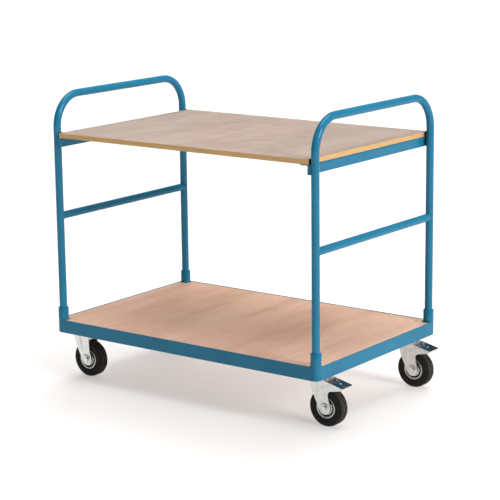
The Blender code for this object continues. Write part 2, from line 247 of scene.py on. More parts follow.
def merged(bms):
    """Several bmeshes as one, kept as separate islands."""
    out = bmesh.new()
    for bm in bms:
        mesh = mesh_of(bm)
        out.from_mesh(mesh)
        bpy.data.meshes.remove(mesh)
    return out


def moved_bm(bm, offset=(0, 0, 0), turn=None):
    """Turn a bmesh about its own origin, then move it."""
    if turn is not None:
        bmesh.ops.transform(bm, matrix=turn, verts=bm.verts)
    bmesh.ops.translate(bm, vec=offset, verts=bm.verts)
    return bm


def stand_for(obj, body, slot, *cad_nodes):
    """Put a piece on its body and hide the CAD nodes that it takes the place of. The slot argument is not used.
    """
    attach(obj, body)
    if cad_nodes:
        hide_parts(*cad_nodes)
    return obj


# ---------------------------------------------------------------- materials

class Shader:
    """Small helper that adds nodes to one Principled material."""

    def __init__(self, name, colour, metallic=0.0, roughness=0.5, **sockets):
        self.mat = bpy.data.materials.new(name)
        self.mat.use_nodes = True
        self.tree = self.mat.node_tree
        self.bsdf = self.tree.nodes["Principled BSDF"]
        self.bsdf.inputs["Base Color"].default_value = (*colour, 1)
        self.bsdf.inputs["Metallic"].default_value = metallic
        self.bsdf.inputs["Roughness"].default_value = roughness
        for key, value in sockets.items():
            self.bsdf.inputs[key.replace("_", " ")].default_value = value
        self.mat.diffuse_color = (*colour, 1)
        self.coords = self.tree.nodes.new("ShaderNodeTexCoord")

    def add(self, kind, **settings):
        node = self.tree.nodes.new("ShaderNode" + kind)
        for key, value in settings.items():
            if hasattr(node, key):
                setattr(node, key, value)
            else:
                node.inputs[key.replace("_", " ")].default_value = value
        return node

    def link(self, source, target):
        self.tree.links.new(source, target)
        return target

    def noise(self, scale, detail=3.0, rough=0.5, stretch=(1, 1, 1), distortion=0.0):
        mapping = self.add("Mapping")
        mapping.inputs["Scale"].default_value = stretch
        self.link(self.coords.outputs["Object"], mapping.inputs["Vector"])
        tex = self.add("TexNoise", Scale=scale, Detail=detail, Roughness=rough, Distortion=distortion)
        self.link(mapping.outputs["Vector"], tex.inputs["Vector"])
        return tex.outputs["Fac"]

    def ramp(self, source, stops):
        node = self.add("ValToRGB")
        elements = node.color_ramp.elements
        while len(elements) > 1:
            elements.remove(elements[-1])
        elements[0].position, elements[0].color = stops[0][0], (*stops[0][1], 1)
        for position, colour in stops[1:]:
            elements.new(position).color = (*colour, 1)
        self.link(source, node.inputs["Fac"])
        return node.outputs["Color"]

    def spread(self, source, low, high, start=0.3, end=0.7):
        node = self.add("MapRange")
        for key, value in (("From Min", start), ("From Max", end), ("To Min", low), ("To Max", high)):
            node.inputs[key].default_value = value
        self.link(source, node.inputs["Value"])
        return node.outputs["Result"]

    def mix(self, factor, a, b):
        node = self.add("Mix", data_type="RGBA", blend_type="MIX")
        for socket, value in ((node.inputs[0], factor), (node.inputs[6], a), (node.inputs[7], b)):
            if hasattr(value, "links"):
                self.link(value, socket)
            elif isinstance(value, tuple):
                socket.default_value = (*value, 1)
            else:
                socket.default_value = value
        return node.outputs[2]

    def bump(self, *layers):
        """layers of (height socket, distance in metres, strength)."""
        normal = None
        for height, distance, strength in layers:
            node = self.add("Bump", Distance=distance, Strength=strength)
            self.link(height, node.inputs["Height"])
            if normal is not None:
                self.link(normal, node.inputs["Normal"])
            normal = node.outputs["Normal"]
        self.link(normal, self.bsdf.inputs["Normal"])

    def colour(self, socket):
        self.link(socket, self.bsdf.inputs["Base Color"])

    def roughness(self, socket):
        self.link(socket, self.bsdf.inputs["Roughness"])


def powder_coat(name, colour):
    """Glossy paint with a faint orange-peel surface."""
    s = Shader(name, colour, 0.0, 0.36, Coat_Weight=0.36, Coat_Roughness=0.06, Specular_IOR_Level=0.04)
    deep = tuple(c * 0.93 for c in colour)
    pale = tuple(min(1, c * 1.06 + 0.002) for c in colour)
    s.colour(s.ramp(s.noise(6.0, 4), [(0.3, deep), (0.7, pale)]))
    s.roughness(s.spread(s.noise(35, 4), 0.28, 0.42))
    s.bump((s.noise(420, 2), 0.00012, 0.22), (s.noise(120, 2), 0.0002, 0.16))
    return s.mat


def laminate(name, light, mid, dark, rough=0.42):
    """Beech decor: long soft figure along Y, fine grain and short darker flecks, with a fine pressed pore."""
    s = Shader(name, mid, 0.0, rough, Specular_IOR_Level=0.45)
    figure = s.noise(1.0, 5, 0.55, stretch=(9, 1.2, 9), distortion=0.8)
    base = s.ramp(figure, [(0.28, dark), (0.5, mid), (0.72, light)])
    strands = s.noise(1.0, 6, 0.65, stretch=(130, 4.5, 130), distortion=0.25)
    base = s.mix(s.spread(strands, 0.0, 0.55, 0.42, 0.78), base, dark)
    flecks = s.noise(1.0, 2, 0.5, stretch=(800, 85, 800))
    base = s.mix(s.spread(flecks, 0.0, 0.5, 0.60, 0.72), base, tuple(c * 0.72 for c in dark))
    s.colour(base)
    s.roughness(s.spread(s.noise(18, 4), rough - 0.06, rough + 0.1))
    s.bump((s.noise(1.0, 2, stretch=(1400, 190, 1400)), 0.00008, 0.35))
    return s.mat


def edge_band(name, colour):
    """The shelf's edge: fine layers along it."""
    s = Shader(name, colour, 0.0, 0.5, Specular_IOR_Level=0.15)
    fine = s.noise(1.0, 4, 0.6, stretch=(14, 14, 420))
    deep = tuple(c * 0.82 for c in colour)
    pale = tuple(min(1, c * 1.06) for c in colour)
    s.colour(s.ramp(fine, [(0.3, deep), (0.7, pale)]))
    s.roughness(s.spread(s.noise(60, 3), 0.42, 0.6))
    s.bump((s.noise(700, 2), 0.00008, 0.25))
    return s.mat


def zinc(name, colour, rough=0.34, spangle=70, depth=0.2):
    """Plated steel with soft patches of duller and cooler metal."""
    s = Shader(name, colour, 1.0, rough)
    patches = s.noise(spangle, 6, 0.7)
    dull = tuple(c * 0.80 for c in colour)
    cool = (colour[0] * 0.98, colour[1] * 1.0, min(1, colour[2] * 1.03))
    s.colour(s.ramp(patches, [(0.3, dull), (0.55, colour), (0.75, cool)]))
    s.roughness(s.spread(s.noise(140, 4), rough - 0.06, rough + 0.08))
    s.bump((s.noise(520, 2), 0.00006, depth), (s.noise(160, 2), 0.00010, depth * 0.6))
    return s.mat


def rubber(name, colour, dust, rough=0.72, dusty=0.35):
    """Rubber or plastic with a little dust in its fine grain."""
    s = Shader(name, colour, 0.0, rough, Specular_IOR_Level=0.2)
    s.colour(s.mix(s.spread(s.noise(55, 5, 0.6), 0.0, dusty, 0.42, 0.8), colour, dust))
    s.roughness(s.spread(s.noise(90, 3), rough - 0.12, rough + 0.1))
    s.bump((s.noise(1300, 2), 0.0001, 0.35), (s.noise(220, 3), 0.00015, 0.2))
    return s.mat


BLUE = powder_coat("blue_powder_coat", (0.011, 0.166, 0.290))
# the shelf's laminate is a greyer copy of the deck's beech decor: its greyness is painted sheen standing in for
# the grazing reflection off its top
SHELF_WOOD_PAINTED_SHEEN = laminate("shelf_laminate_painted_sheen", light=(0.49, 0.385, 0.325), mid=(0.45, 0.348, 0.292),
                      dark=(0.385, 0.287, 0.235), rough=0.36)
DECK_WOOD = laminate("deck_laminate", light=(0.73, 0.48, 0.355), mid=(0.66, 0.415, 0.295),
                     dark=(0.52, 0.295, 0.185), rough=0.40)
SHELF_EDGE = edge_band("shelf_edge_band", (0.65, 0.40, 0.175))
ZINC = zinc("zinc_plated_sheet", (0.75, 0.75, 0.72))
BRIGHT = zinc("bright_zinc_fastener", (0.74, 0.74, 0.72), 0.22, 160)
RIM_STEEL = zinc("wheel_centre_steel", (0.56, 0.57, 0.55), 0.22, 90)
# near-black material for the rim's groove: painted shade standing in for the shadow in that recess
GROOVE_PAINTED_SHADE = rubber("wheel_groove_painted_shade", (0.012, 0.012, 0.012), (0.03, 0.03, 0.028), 0.7, 0.2)
TYRE = rubber("tyre_rubber", (0.011, 0.0105, 0.010), (0.040, 0.037, 0.033), 0.66, 0.3)
BLACK = rubber("black_buffer", (0.010, 0.010, 0.010), (0.03, 0.03, 0.03), 0.6, 0.2)
PLASTIC = rubber("bearing_plastic", (0.02, 0.02, 0.02), (0.05, 0.05, 0.05), 0.45, 0.2)
PEDAL = zinc("dark_pedal_plating", (0.21, 0.24, 0.25), 0.22, 60, 0.1)
# lighter, dustier rubber for the tread faces: partly dust on the worn tread, partly painted light standing in
# for the key light falling on the tread
TREAD_DUST_AND_PAINTED_LIGHT = rubber("tread_rubber_dust_and_painted_light", (0.034, 0.031, 0.028), (0.11, 0.10, 0.085), 0.7, 0.5)


# ---------------------------------------------------------------- frame

def mm_box(node):
    """The corners of a CAD node's box, in millimetres."""
    low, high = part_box(node)
    return Vector(low) / MM, Vector(high) / MM


sock_low, sock_high = mm_box("front_right_socket")
SOCKET_R = (sock_high.x - sock_low.x) / 2
POST_X = (sock_low.x + sock_high.x) / 2
POST_Y = -(sock_low.y + sock_high.y) / 2
left_low, left_high = mm_box("front_left_socket")
MID_X = (POST_X + (left_low.x + left_high.x) / 2) / 2  # the frame's middle, a little off the box's middle
POST_X -= MID_X
FRAME_Z0 = sock_low.z
hoop_low, hoop_high = mm_box("right_hoop")
TUBE_R = (hoop_high.x - hoop_low.x) / 2
HOOP_Z = hoop_high.z - TUBE_R
TUBE_WALL = 2.0
BEND_R = 107  # of the tube's centre line, in a hoop's two upper corners
CASTOR_BOLTS = [(x, y) for x in (-31, 31) for y in (-40, 40)]
BOLT_HOLE_R = 4.4


def post(sx, sy):
    """Where an upright stands, on one side in X and in Y, at floor level."""
    return Vector((MID_X + sx * POST_X, sy * POST_Y, 0))


def hoop_points():
    """Centre line of a hoop: up one side, round both bends and down the other."""
    foot = hoop_low.z
    pts = [(0, -POST_Y, foot)]
    steps = 26
    for side in (-1, 1):
        angles = [math.pi / 2 * i / steps for i in range(steps + 1)]
        if side == 1:
            angles.reverse()
        for a in angles:
            y = POST_Y - BEND_R + BEND_R * math.cos(a)
            pts.append((0, side * y, HOOP_Z - BEND_R + BEND_R * math.sin(a)))
    pts.append((0, POST_Y, foot))
    return pts


hoop = to_object(sweep_bm(hoop_points(), TUBE_R, 56, inner=TUBE_R - TUBE_WALL), "right_hoop_tube", [BLUE])
for label, sx in (("right", 1), ("left", -1)):
    at = ((MID_X + sx * POST_X) * MM, 0, 0)
    tube = hoop if sx > 0 else copy_of(hoop, "left_hoop_tube", at)
    tube.location = at
    stand_for(tube, "frame", "blue_paint", label + "_hoop")

# mid rails, saddled on to the uprights, with a weld bead round each end
mid_low, mid_high = mm_box("right_mid_rail")
MID_Z = (mid_low.z + mid_high.z) / 2


def saddle(radius, around, count, side):
    """The ring where a mid rail of one radius meets an upright of another."""
    pts = []
    for k in range(count):
        a = 2 * math.pi * k / count
        x = radius * math.cos(a)
        reach = POST_Y - math.sqrt(max(around ** 2 - x * x, 0.0))
        pts.append((x, side * reach, MID_Z + radius * math.sin(a)))
    return pts


def mid_rail_bm():
    """A tube between two uprights, its ends shaped to them."""
    bm = bmesh.new()
    count = 56
    rings = {}
    for key, radius in (("out", TUBE_R), ("in", TUBE_R - TUBE_WALL)):
        for side in (-1, 1):
            rings[key, side] = [bm.verts.new(p) for p in saddle(radius, TUBE_R + 0.3, count, side)]
    pairs = [(rings["out", -1], rings["out", 1]), (rings["in", -1], rings["in", 1]),
             (rings["out", -1], rings["in", -1]), (rings["out", 1], rings["in", 1])]
    for a, b in pairs:
        for k in range(count):
            m = (k + 1) % count
            bm.faces.new((a[k], a[m], b[m], b[k]))
    return bm


for label, sx in (("right", 1), ("left", -1)):
    at = ((MID_X + sx * POST_X) * MM, 0, 0)
    rail = to_object(mid_rail_bm(), label + "_mid_rail_tube", [BLUE], at)
    stand_for(rail, "frame", "blue_paint", label + "_mid_rail")
    beads = [sweep_bm(saddle(TUBE_R + 0.3, TUBE_R + 0.6, 56, side), 1.5, 10, closed=True, wobble=0.16)
             for side in (-1, 1)]
    stand_for(to_object(merged(beads), label + "_mid_rail_welds", [BLUE], at, 60), "frame", "blue_paint")

# corner sockets with a chamfered lip
SOCKET_Z1 = sock_high.z
cup = [(0, FRAME_Z0), (SOCKET_R - 1.2, FRAME_Z0), (SOCKET_R - 0.3, FRAME_Z0 + 0.4),
       (SOCKET_R, FRAME_Z0 + 1.3), (SOCKET_R, SOCKET_Z1 - 1.3), (SOCKET_R - 0.35, SOCKET_Z1 - 0.4),
       (SOCKET_R - 1.2, SOCKET_Z1), (TUBE_R + 1.0, SOCKET_Z1), (TUBE_R + 0.4, SOCKET_Z1 - 0.7),
       (TUBE_R + 0.4, FRAME_Z0 + 3), (0, FRAME_Z0 + 3)]
socket = None
for label, sx, sy in CORNERS:
    at = post(sx, sy) * MM
    if socket is None:
        socket = to_object(turned_bm(cup, "Z", 64), label + "_socket_tube", [BLUE], at, 30)
        piece = socket
    else:
        piece = copy_of(socket, label + "_socket_tube", at)
    stand_for(piece, "frame", "blue_paint", label + "_socket")

# rails: an upright web with an inner ledge, ends cut round the sockets
rail_low, rail_high = mm_box("front_rail")
RAIL_Z1 = rail_high.z
deck_low, deck_high = mm_box("deck_board")
EDGE_Y = -rail_low.y
EDGE_X = mm_box("right_rail")[1].x - MID_X
WEB = 3.0
LEDGE = 25.0


def rail_mesh(edge, post_run, post_edge):
    """One base rail along X, standing on the -Y edge of the frame."""
    reach = post_run - 3.0
    inner = edge - WEB
    top = deck_low.z - 0.3
    profile = [(-edge, FRAME_Z0), (-inner, FRAME_Z0), (-inner, top - 3), (-edge + LEDGE, top - 3),
               (-edge + LEDGE, top), (-inner, top), (-inner, RAIL_Z1), (-edge, RAIL_Z1)]
    web = mesh_of(prism_bm(profile, -reach, reach, "X"))
    rings = [circle(side * post_run, -post_edge, SOCKET_R + 0.25, 96) for side in (-1, 1)]
    tools = [mesh_of(prism_bm(ring, FRAME_Z0 - 20, RAIL_Z1 + 20)) for ring in rings]
    return combine(web, tools, "DIFFERENCE")


def seam_welds(edge, post_run, post_edge):
    """Upright weld beads where a rail meets its two sockets, on the outer and inner side."""
    beads = []
    for side in (-1, 1):
        for inset, angle in ((1.5, 14), (WEB + 0.4, 40)):
            x = side * (post_run - (SOCKET_R + 0.6) * math.sin(math.radians(angle)))
            z0, z1 = FRAME_Z0 + 1.5, RAIL_Z1 - 1.5
            pts = [(x, -edge + inset, z0 + (z1 - z0) * i / 30) for i in range(31)]
            beads.append(sweep_bm(pts, 1.2, 10, wobble=0.18))
    return merged(beads)


rails = [("front_rail", EDGE_Y, POST_X, POST_Y, 0.0),
         ("back_rail", EDGE_Y, POST_X, POST_Y, math.pi),
         ("right_rail", EDGE_X, POST_Y, POST_X, math.pi / 2),
         ("left_rail", EDGE_X, POST_Y, POST_X, -math.pi / 2)]
for label, edge, run, side_edge, turn in rails:
    at = (MID_X * MM, 0, 0)
    rail = place(rail_mesh(edge, run, side_edge), label + "_profile", [BLUE], at, 30, turn)
    bevel(rail, 0.8, 3)
    stand_for(rail, "frame", "blue_paint", label)
    seam = to_object(seam_welds(edge, run, side_edge), label + "_welds", [BLUE], at, 60, turn)
    stand_for(seam, "frame", "blue_paint")

# boards
hx, hy = (deck_high.x - deck_low.x) / 2 - 0.8, deck_high.y - 0.8
nx, ny = POST_X - SOCKET_R - 2.0, POST_Y - SOCKET_R - 2.0
outline = [(-nx, -hy), (nx, -hy), (nx, -ny), (hx, -ny), (hx, ny), (nx, ny), (nx, hy), (-nx, hy),
           (-nx, ny), (-hx, ny), (-hx, -ny), (-nx, -ny)]
inner_corners = [1, 1, 4, 1, 1, 4, 1, 1, 4, 1, 1, 4]
deck = to_object(prism_bm(rounded(outline, inner_corners), deck_low.z, deck_high.z), "deck_panel",
                 [DECK_WOOD], (MID_X * MM, 0, 0), 30)
bevel(deck, 0.5, 2)
stand_for(deck, "frame", "deck_wood", "deck_board")

shelf_low, shelf_high = mm_box("shelf_board")
sx_half, sy_half = (shelf_high.x - shelf_low.x) / 2, shelf_high.y
flat = [(-sx_half, -sy_half), (sx_half, -sy_half), (sx_half, sy_half), (-sx_half, sy_half)]
shelf = to_object(prism_bm(rounded(flat, 2.0), shelf_low.z, shelf_high.z), "shelf_panel",
                  [SHELF_WOOD_PAINTED_SHEEN, SHELF_EDGE], (MID_X * MM, 0, 0), 30)
for face in shelf.data.polygons:
    face.material_index = 1 if abs(face.normal.z) < 0.5 else 0
bevel(shelf, 0.9, 3).modifiers["edges"].material = 1
stand_for(shelf, "frame", "shelf_wood", "shelf_board")

# shelf bearers: an angle with an end lug out to each upright
bar_low, bar_high = mm_box("right_shelf_bearer")


def bearer_mesh():
    """The right-hand angle under the shelf, with its two lugs."""
    top = bar_high.z
    x1 = sx_half
    angle = rounded([(x1 - 30, top - 3), (x1 - 3, top - 3), (x1 - 3, bar_low.z), (x1, bar_low.z), (x1, top),
                     (x1 - 30, top)], [0, 3, 0, 0, 4.5, 0])
    bar = mesh_of(prism_bm(angle, bar_low.y, bar_high.y, "Y"))
    lugs = []
    for side in (-1, 1):
        y0, y1 = sorted((side * (bar_high.y - 0.2), side * (bar_high.y - 3.8)))
        a, b, low, high = x1 - 1.5, POST_X - 10.5, bar_low.z + 1, top - 0.5
        lug = [(a, low), (b, low), (b, high), (a, high)]
        lugs.append(mesh_of(prism_bm(lug, y0, y1, "Y")))
    return combine(bar, lugs, "UNION")


for label, sx in (("right", 1), ("left", -1)):
    turn = 0.0 if sx > 0 else math.pi
    bearer = place(bearer_mesh(), label + "_bearer_angle", [BLUE], (MID_X * MM, 0, 0), 30, turn)
    bevel(bearer, 0.6, 2)
    stand_for(bearer, "frame", "blue_paint", label + "_shelf_bearer")
    beads = []
    for side in (-1, 1):
        for inset, x in ((0.6, POST_X - 8.4), (4.2, POST_X - 11.6)):
            y = side * (bar_high.y - inset)
            z0, z1 = bar_low.z + 2, bar_high.z - 2
            beads.append(sweep_bm([(x, y, z0 + (z1 - z0) * i / 20) for i in range(21)], 1.2, 10, wobble=0.18))
    seam = to_object(merged(beads), label + "_bearer_welds", [BLUE], (MID_X * MM, 0, 0), 60, turn)
    stand_for(seam, "frame", "blue_paint")

# rubber buffers between shelf and uprights
for label, sx, sy in CORNERS:
    low, high = mm_box(label + "_buffer")
    pad = rounded([(low.x, low.y), (high.x, low.y), (high.x, high.y), (low.x, high.y)], 2.0)
    pad = to_object(prism_bm(pad, low.z, high.z), label + "_buffer_pad", [BLACK], smooth=30)
    bevel(pad, 1.2, 3)
    stand_for(pad, "frame", "black_rubber", label + "_buffer")


# countersunk cross-head screws that hold the shelf to its bearers, and the deck to its ledges
def screw_bm():
    """A screw head with a cross cut into it."""
    profile = [(0, -2.5), (3.0, -2.5), (4.6, -0.35), (4.7, 0.12), (4.2, 0.32), (0, 0.42)]
    head = mesh_of(turned_bm(profile, "Z", 32))
    cross = []
    for turn in (0, math.pi / 2):
        slot_bm = prism_bm([(-2.6, -0.55), (2.6, -0.55), (2.6, 0.55), (-2.6, 0.55)], -1.2, 2)
        cross.append(mesh_of(moved_bm(slot_bm, turn=Matrix.Rotation(turn + 0.4, 4, "Z"))))
    cut = combine(head, cross, "DIFFERENCE")
    out = bmesh.new()
    out.from_mesh(cut)
    return out


def screw_set(name, spots, z):
    """One piece with a screw head at each spot of a board's top."""
    parts = [moved_bm(screw_bm(), (x, y, z)) for x, y in spots]
    obj = to_object(merged(parts), name, [BRIGHT], (MID_X * MM, 0, 0), 30)
    return stand_for(obj, "frame", "bolt_steel")


screw_set("shelf_screws", [(sx * (sx_half - 25), sy * 290) for _, sx, sy in CORNERS], shelf_high.z)
screw_set("deck_screws", [(sx * (nx - 16), sy * (hy - 34)) for _, sx, sy in CORNERS], deck_high.z)

# ---------------------------------------------------------------- castors

TRAIL = (JOINTS["front_right_wheel_spin"]["pos_m"][0] - JOINTS["front_right_swivel_turn"]["pos_m"][0]) / MM
AXLE_Z = JOINTS["front_right_wheel_spin"]["pos_m"][2] / MM
CROWN_Z = mm_box("front_right_fork")[1].z
CHEEK_OUT = 24.0
CHEEK_IN = 21.0
WASHER_Y = CHEEK_OUT + 1.4  # where the axle's washers meet the fork's bosses
plate_low, plate_high = mm_box("front_right_top_plate")
PLATE_Z0 = plate_low.z + 9.3  # underside of the flat plate, above its ball race
CORNER_Z1 = mm_box("front_right_corner_plate")[1].z
pin_pos = JOINTS["front_right_pedal_lift"]["pos_m"]
PIN_DX = (pin_pos[0] - JOINTS["front_right_swivel_turn"]["pos_m"][0]) / MM
PIN_Z = pin_pos[2] / MM
PEDAL_FALL = 0.232
SLOPE = math.atan(PEDAL_FALL)


def pedal_top(dx):
    """Height of a pedal's tread at a distance in front of the swivel axis."""
    return 153.0 - PEDAL_FALL * (dx - 31.0)


def drill(radius, count, at=(0, 0, 0), low=-40, high=40, axis="Y"):
    """A cutter for a round hole."""
    return mesh_of(moved_bm(turned_bm([(0, low), (radius, low), (radius, high), (0, high)], axis, count), at))


def cheek_outline(braked):
    """Side view of a fork's cheek. A braked one reaches forward under its pedal."""
    points = [(-31, CROWN_Z + 5), (-31, 147), (-19.5, 108)]
    radii = [0, 10, 14]
    arc = circle(TRAIL, AXLE_Z, 21.0, 40, math.radians(196), math.radians(172))
    points += arc
    radii += [0] * len(arc)
    points += [(TRAIL + 14.5, AXLE_Z + 24), (TRAIL + 11.5, 112)]
    radii += [12, 9]
    if braked:
        over_pin = (PIN_DX + 8, pedal_top(PIN_DX + 8) - 5)
        points += [(44, 119), (88, 128), (95, 133), over_pin, (38, 146), (33, 150)]
        radii += [6, 5, 2.5, 4, 4, 3]
    else:
        points += [(36, 128), (33, 146)]
        radii += [14, 8]
    points.append((33, CROWN_Z + 5))
    radii.append(0)
    return rounded(points, radii, 8)


def rib_bm(start, end, side):
    """A pressed ridge on a cheek's outer face."""
    a, b = Vector((start[0], 0, start[1])), Vector((end[0], 0, end[1]))
    bm = bmesh.new()
    bmesh.ops.create_uvsphere(bm, u_segments=24, v_segments=16, radius=1.0)
    length = (b - a).length / 2
    bmesh.ops.scale(bm, vec=(3.0, 1.5, length), verts=bm.verts)
    lean = math.atan2((b - a).x, (b - a).z)
    bmesh.ops.rotate(bm, cent=(0, 0, 0), matrix=Matrix.Rotation(lean, 3, "Y"), verts=bm.verts)
    mid = (a + b) / 2
    bmesh.ops.translate(bm, vec=(mid.x, side * CHEEK_OUT, mid.z), verts=bm.verts)
    return bm


def fork_mesh(braked):
    """Pressed fork: a bent channel trimmed to the side view, with a round head, ridges and axle bosses."""
    bend = [math.pi / 2 * i / 8 for i in range(9)]
    out_arc = [(CHEEK_OUT - 8 + 8 * math.cos(a), CROWN_Z - 8 + 8 * math.sin(a)) for a in bend]
    in_arc = [(CHEEK_IN - 5 + 5 * math.cos(a), CROWN_Z - 8 + 5 * math.sin(a)) for a in bend]
    channel = [(CHEEK_OUT, 20)] + out_arc + [(-y, z) for y, z in reversed(out_arc)]
    channel += [(-CHEEK_OUT, 20), (-CHEEK_IN, 20)]
    channel += [(-y, z) for y, z in in_arc] + list(reversed(in_arc)) + [(CHEEK_IN, 20)]
    sheet = mesh_of(prism_bm(channel, -40, 110, "X"))
    side_view = mesh_of(prism_bm(cheek_outline(braked), -35, 35, "Y"))
    body = combine(sheet, [side_view], "INTERSECT")
    head = [(6.4, CROWN_Z), (30.5, CROWN_Z), (32.4, CROWN_Z - 0.8), (33.0, CROWN_Z - 2.2),
            (33.0, CROWN_Z - 4.5), (31.8, CROWN_Z - 6.6), (29, CROWN_Z - 8.0), (6.4, CROWN_Z - 8.0)]
    added = [mesh_of(turned_bm(head, "Z", 72))]
    for side in (-1, 1):
        boss = [(0, side * 22), (17.5, side * 22), (17.5, side * 24.4), (15.8, side * 25.3), (0, side * 25.3)]
        added.append(mesh_of(moved_bm(turned_bm(boss, "Y", 56), (TRAIL, 0, AXLE_Z))))
        added.append(mesh_of(rib_bm((-8, 152), (9, 84), side)))
    body = combine(body, added, "UNION")
    cuts = [drill(5.4, 32, (TRAIL, 0, AXLE_Z)), drill(6.4, 32, low=130, high=170, axis="Z")]
    if braked:
        cuts.append(drill(3.3, 24, (PIN_DX, 0, PIN_Z)))
        cuts.append(drill(2.2, 20, (22, 0, 132)))
    return combine(body, cuts, "DIFFERENCE")


def rim_profile():
    """Half section, mirrored: flat hub cap, groove, sloping flange against the tyre. The groove's faces are
    later given a near-black material, painted shade for its recess.
    """
    half = [(8.3, 19.6), (11.4, 19.6), (12.2, 19.2), (12.6, 18.4), (16, 18.3), (21.5, 18.0), (23.2, 17.4),
            (24.2, 16.0), (24.7, 13.0), (25.0, 10.6), (25.6, 9.8), (26.8, 9.8), (27.4, 10.6), (27.8, 13.0),
            (28.3, 15.4), (29.2, 16.6), (31.5, 17.1), (33.8, 17.9), (34.7, 17.7), (35.2, 16.9), (35.3, 15)]
    return half + [(r, -h) for r, h in reversed(half)]


def tyre_profile():
    """Half section from bead to crown with two grooves, mirrored."""
    half = [(35.6, 16.0), (36.2, 17.0), (38.0, 17.6), (39.6, 18.3), (41.0, 18.5), (41.6, 18.1), (42.6, 18.1),
            (43.2, 18.5), (50.0, 18.5), (54.5, 18.3), (57.6, 17.7), (60.0, 16.6), (61.5, 15.0), (62.1, 13.2),
            (62.25, 11.6), (61.9, 10.9), (60.4, 10.7), (60.2, 9.4), (60.4, 8.1), (61.9, 7.9), (62.4, 7.2),
            (62.5, 5.4), (62.5, 3.4), (62.1, 2.7), (60.6, 2.5), (60.4, 1.2)]
    return half + [(r, -h) for r, h in reversed(half)]


def pedal_mesh():
    """Tread with turned-down sides and pressed cross ribs, two cheeks on the pin and a tab over the tyre."""
    start, tip = 37.0, 98.8
    length = (tip - start) / math.cos(SLOPE)
    ear = (25.0 - start) / math.cos(SLOPE)
    front, back = length - 1.2, 0.2
    tread = rounded([(ear, -29.8), (front, -29.8), (front, 29.8), (ear, 29.8), (ear, 25.5), (back, 25.5),
                     (back, -25.5), (ear, -25.5)], [1.8, 6, 6, 1.8, 1.8, 2, 2, 1.8], 8)
    plate = prism_bm(tread, -2.5, 0)
    lip = []
    for y in (-28.4, 28.4):
        strip = [(-9, y - 1.2), (length - 10, y - 1.2), (length - 10, y + 1.2), (-9, y + 1.2)]
        lip.append(prism_bm(rounded(strip, 1.0), -4.4, -0.6))
    ribs = []
    for k in range(3):
        x = length - 8 - k * 6
        bm = bmesh.new()
        bmesh.ops.create_uvsphere(bm, u_segments=24, v_segments=12, radius=1.0)
        bmesh.ops.scale(bm, vec=(2.0, 15.0, 1.1), verts=bm.verts)
        bmesh.ops.translate(bm, vec=(x, 0, 0), verts=bm.verts)
        ribs.append(bm)
    rivet = [(0, -1), (5.2, -1), (5.2, 0.4), (4.6, 1.0), (3.0, 1.3), (0, 1.4)]
    ribs.append(moved_bm(turned_bm(rivet, "Z", 28), (34, 3, 0)))
    lean = Matrix.Rotation(SLOPE, 4, "Y")
    offset = (start - PIN_DX, 0, pedal_top(start) - PIN_Z)
    placed = [mesh_of(moved_bm(bm, offset, lean)) for bm in [plate] + lip + ribs]

    def line(dx, drop):
        """A point under the tread's top face, measured from the pin."""
        return (dx - PIN_DX, pedal_top(dx) - drop - PIN_Z)

    cheek = rounded([line(start + 1, 1.5), (-6, 8), (-6, -3), (-3, -7), (5, -7.5), line(tip - 8, 8.0),
                     line(tip - 8, 1.5)], [0, 2, 4, 4, 4, 3, 0])
    tab = rounded([line(52, 1.5), line(56, 1.5), (14, -13.5), (2, -15), (2, -12.5), (10.5, -11)],
                  [0, 0, 3, 0.5, 0.5, 2])
    hole = circle(0, 0, 3.3, 24)
    for y in (17.4, -20.4):
        placed.append(mesh_of(prism_bm(cheek, y, y + 3.0, "Y", [hole])))
    placed.append(mesh_of(prism_bm(tab, -13, 13, "Y")))
    return combine(placed[0], placed[1:], "UNION")


def hex_head(radius, low, high, axis, turn=0.0):
    """A hexagon with its outer corners chamfered by a cone."""
    hexagon = rounded(circle(0, 0, radius, 6, turn), 0.6, 3)
    block = mesh_of(prism_bm(hexagon, min(low, high), max(low, high), axis))
    rise = 1 if high > low else -1
    cone = mesh_of(turned_bm([(0, low - rise), (radius * 1.1, low - rise), (radius * 1.1, high - rise * 1.6),
                              (radius * 0.9, high + rise * 0.2), (0, high + rise * 0.2)], axis, 48))
    mesh = combine(block, [cone], "INTERSECT")
    bm = bmesh.new()
    bm.from_mesh(mesh)
    return bm


def bolt_set():
    """Four hexagon bolts with washers under the top plate, and their nuts above the corner plate."""
    under, above = PLATE_Z0, CORNER_Z1
    ring = [(4.3, under - 1.8), (8.4, under - 1.8), (8.4, under - 0.2), (4.3, under - 0.2)]
    rod = [(0, under - 2), (3.9, under - 2), (3.9, above + 8.6), (3.1, above + 9.4), (0, above + 9.4)]
    parts = []
    for x, y in CASTOR_BOLTS:
        head = hex_head(7.2, under - 1.9, under - 7.2, "Z", 0.3 * x + y)
        nut = hex_head(7.2, above + 0.2, above + 6.4, "Z", 0.7 * x)
        pieces = (head, turned_bm(ring, "Z", 36), nut, turned_bm(rod, "Z", 24))
        parts += [moved_bm(bm, (x, y, 0)) for bm in pieces]
    return merged(parts)


def top_plate_mesh():
    """Flat bolt-down plate with the pressed ball race under it."""
    low = plate_low.z
    flat_plate = rounded([(-42, -52), (42, -52), (42, 52), (-42, 52)], 7)
    holes = [circle(x, y, BOLT_HOLE_R, 24) for x, y in CASTOR_BOLTS]
    plate = mesh_of(prism_bm(flat_plate, PLATE_Z0, plate_high.z, "Z", [circle(0, 0, 6.4, 32)] + holes))
    race = [(25.6, low + 0.6), (27, low), (30.4, low), (31.8, low + 1.2), (33.4, low + 8), (36, PLATE_Z0 + 0.6),
            (36, PLATE_Z0 + 1.2), (20.5, PLATE_Z0 + 1.2), (23.5, low + 6)]
    return combine(plate, [mesh_of(turned_bm(race, "Z", 72))], "UNION")


